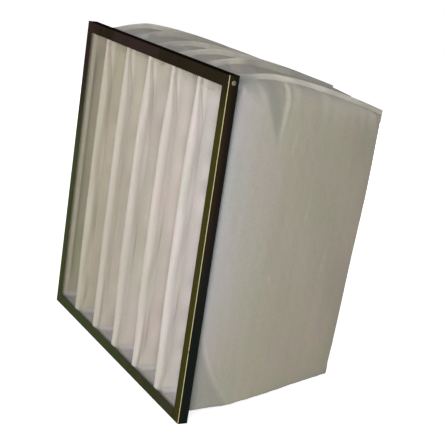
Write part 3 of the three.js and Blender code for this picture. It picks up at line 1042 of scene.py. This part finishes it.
def header_paint():
    """Dull dark brown paint under painted reflections, olive and greener below, and a painted
    highlight along the front folds.
    """
    material, tree, shader = new_material("header_paint")
    x, y, z = tree.position()
    tone = tree.ramp(tree.noise(9, 4.0, (1, 1, 0.5)), (
        (0.25, srgb(58, 48, 56)), (0.45, srgb(56, 43, 40)),
        (0.6, srgb(42, 36, 25)), (0.75, srgb(37, 31, 24)),
    ))
    # The right upright's front face, below its corner: an olive painted reflection
    front = tree.product(tree.span(y, -0.0080, -0.0088), tree.span(x, 0.270, 0.280))
    tone = tree.tint(tone, srgb(64, 62, 24), front, tree.span(z, 0.585, 0.500), 0.85)
    # The lower parts, most at the left: a greener painted reflection
    lower = tree.product(tree.span(z, 0.52, 0.30), tree.span(x, 0.275, 0.268))
    tone = tree.tint(tone, srgb(74, 84, 52), lower, tree.span(x, 0.70, -0.30), 0.82)
    # The right upright's outer side: a painted reflection, brown in front, green-black behind and
    # below
    side = tree.tint(srgb(46, 36, 20), srgb(22, 24, 18), tree.span(y, -0.004, 0.004))
    side = tree.tint(side, srgb(14, 28, 24), tree.span(z, 0.42, 0.14))
    tone = tree.tint(tone, side, tree.span(x, 0.2950, 0.2956), 0.8)
    # The top channel's upper face: a near-black painted reflection
    tone = tree.tint(tone, srgb(16, 13, 12), tree.span(z, 0.5911, 0.5916), 0.75)
    # A painted highlight along the uprights' front folds, in patches
    fold = tree.math("SUBTRACT", tree.math("ABSOLUTE", x), y)
    highlight_patches = tree.span(tree.noise(90, 3.0, (0.2, 0.2, 0.6)), 0.22, 0.36)
    tone = tree.tint(tone, srgb(222, 211, 160), tree.span(fold, *HIGHLIGHT_FOLD), highlight_patches)
    tree.links.new(tone, shader.inputs["Base Color"])
    rough = tree.scaled(tree.noise(30, 4.0, (1, 1, 0.2)), to_min=0.26, to_max=0.5)
    tree.links.new(rough, shader.inputs["Roughness"])
    shader.inputs["Metallic"].default_value = 0.0
    shader.inputs["Specular IOR Level"].default_value = 0.0
    shader.inputs["Specular Tint"].default_value = (1.0, 0.86, 0.70, 1.0)
    tree.bump(shader, tree.noise(420, 2.0), 0.06, 0.0006)
    return material


def metal(name, light, dark, rough_low, rough_high):
    material, tree, shader = new_material(name)
    grain = tree.noise(300, 4.0, (1, 0.15, 1))
    tree.links.new(tree.ramp(grain, ((0.3, dark), (0.7, light))), shader.inputs["Base Color"])
    rough = tree.scaled(grain, to_min=rough_low, to_max=rough_high)
    tree.links.new(rough, shader.inputs["Roughness"])
    shader.inputs["Metallic"].default_value = 0.9
    return material


# The studio

AIM = (0.0, 0.1, 0.3)
# Lamps: name, place, width, height, watts and colour
LAMPS = (
    ("key", (2.35, -2.1, 0.95), 1.4, 1.4, 62.0, (1.0, 0.985, 0.95)),
    ("back", (-2.6, 2.4, 0.5), 1.8, 1.2, 50.0, (0.97, 0.98, 1.0)),
    ("front", (0.3, -3.0, 1.2), 1.6, 1.6, 8.0, (1.0, 0.98, 0.95)),
)
AMBIENT = (0.86, 0.89, 0.95, 1)
AMBIENT_STRENGTH = 0.36
WHITE = (1, 1, 1, 1)
FLOOR_COLOUR = (0.86, 0.86, 0.86, 1)
FLOOR_LIFT = 0.80
FLOOR_REACH = 6.0
FLOOR_BELOW = 0.0005


def add_lamp(name, place, width, height, watts, colour):
    data = bpy.data.lights.new(name, "AREA")
    data.shape = "RECTANGLE"
    data.size = width
    data.size_y = height
    data.energy = watts
    data.color = colour
    lamp = bpy.data.objects.new(name, data)
    lamp.location = place
    lamp.rotation_euler = (Vector(AIM) - Vector(place)).to_track_quat("-Z", "Y").to_euler()
    scene.collection.objects.link(lamp)


def seen_rays(tree):
    """1 for what the camera sees straight on, in a reflection or through something clear."""
    rays = tree.add("ShaderNodeLightPath").outputs
    mirrored = tree.math("MAXIMUM", rays["Is Camera Ray"], rays["Is Glossy Ray"])
    return tree.math("MAXIMUM", mirrored, rays["Is Transmission Ray"])


def add_world():
    world = bpy.data.worlds.new("studio")
    scene.world = world
    tree = Tree(world)
    tree.nodes.clear()
    out = tree.add("ShaderNodeOutputWorld")
    choose = tree.add("ShaderNodeMixShader")
    tree.links.new(seen_rays(tree), choose.inputs["Fac"])
    for socket, colour, strength in ((1, AMBIENT, AMBIENT_STRENGTH), (2, WHITE, 1.0)):
        background = tree.add("ShaderNodeBackground")
        background.inputs["Color"].default_value = colour
        background.inputs["Strength"].default_value = strength
        tree.links.new(background.outputs["Background"], choose.inputs[socket])
    tree.links.new(choose.outputs["Shader"], out.inputs["Surface"])


def add_floor():
    r = FLOOR_REACH
    mesh = bpy.data.meshes.new("floor")
    mesh.from_pydata([(-r, -r, 0), (r, -r, 0), (r, r, 0), (-r, r, 0)], [], [(0, 1, 2, 3)])
    floor = bpy.data.objects.new("floor", mesh)
    scene.collection.objects.link(floor)
    floor.location.z = -FLOOR_BELOW
    material, tree, shader = new_material("floor")
    shader.inputs["Base Color"].default_value = FLOOR_COLOUR
    shader.inputs["Roughness"].default_value = 0.9
    shader.inputs["Emission Color"].default_value = WHITE
    lift = tree.product(seen_rays(tree), FLOOR_LIFT)
    tree.links.new(lift, shader.inputs["Emission Strength"])
    mesh.materials.append(material)


# The filter

STEEL_BEND = 0.0008
RIVET_BEND = 0.0002


def finish_steel():
    """Gives the header, the rivets and the strips their materials and rounds the edges of the
    header and the rivets.
    """
    paint = header_paint()
    steel = metal("strip_steel", srgb(186, 188, 190), srgb(150, 152, 154), 0.3, 0.5)
    alloy = metal("rivet_alloy", srgb(132, 127, 114), srgb(98, 93, 82), 0.4, 0.6)
    for name, node in nodes.items():
        if name.startswith("header"):
            finish, bend = paint, STEEL_BEND
        elif name.startswith("corner_rivet"):
            finish, bend = (paint if "bottom" in name else alloy), RIVET_BEND
        elif name.startswith("mouth_strip"):
            finish, bend = steel, 0.0
        else:
            continue
        for slot in node.material_slots:
            slot.link = "OBJECT"
            slot.material = finish
        if bend:
            rounded = node.modifiers.new("bend", "BEVEL")
            rounded.width = bend
            rounded.segments = 3
            rounded.limit_method = "ANGLE"
            rounded.harden_normals = False


def hang_pocket(index, cloths, sewing):
    """Adds a pocket's cloth, which replaces the solid one, and the stitches along its seam."""
    grid = pocket_grid(index)
    pocket = grid_piece(f"pocket_cloth_{index + 1}", grid)
    mark_band(pocket, grid)
    mark_painted_shading(pocket, grid, index)
    weld(pocket)
    for material in cloths:
        pocket.data.materials.append(material)
    wall = pocket.modifiers.new("cloth", "SOLIDIFY")
    wall.thickness = CLOTH
    wall.offset = 0.0
    wall.material_offset = 1
    wall.material_offset_rim = 0
    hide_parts(f"pocket_{index + 1}")
    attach(pocket, "root")

    side = np.array((1.0, 0.0, 0.0))
    face = side * CLOTH / 2
    sewn = grid[:, FIN_COLUMN, 1] > STITCH_FROM
    right_line = grid[sewn, FIN_COLUMN][::-1] + face
    left_line = grid[sewn, COLUMNS - FIN_COLUMN][::-1] - face
    rows = stitch_row(right_line, side) + stitch_row(left_line, -side)
    stitches = stitch_piece(f"seam_stitches_{index + 1}", rows)
    stitches.data.materials.append(sewing)
    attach(stitches, "root")


add_camera()
outside, inside, band, sewing = outside_cloth(), inside_cloth(), band_cloth(), thread()
finish_steel()
for index in range(COUNT):
    hang_pocket(index, (outside, inside, band, inside), sewing)
add_world()
add_floor()
for lamp in LAMPS:
    add_lamp(*lamp)
scene.view_settings.view_transform = "Standard"
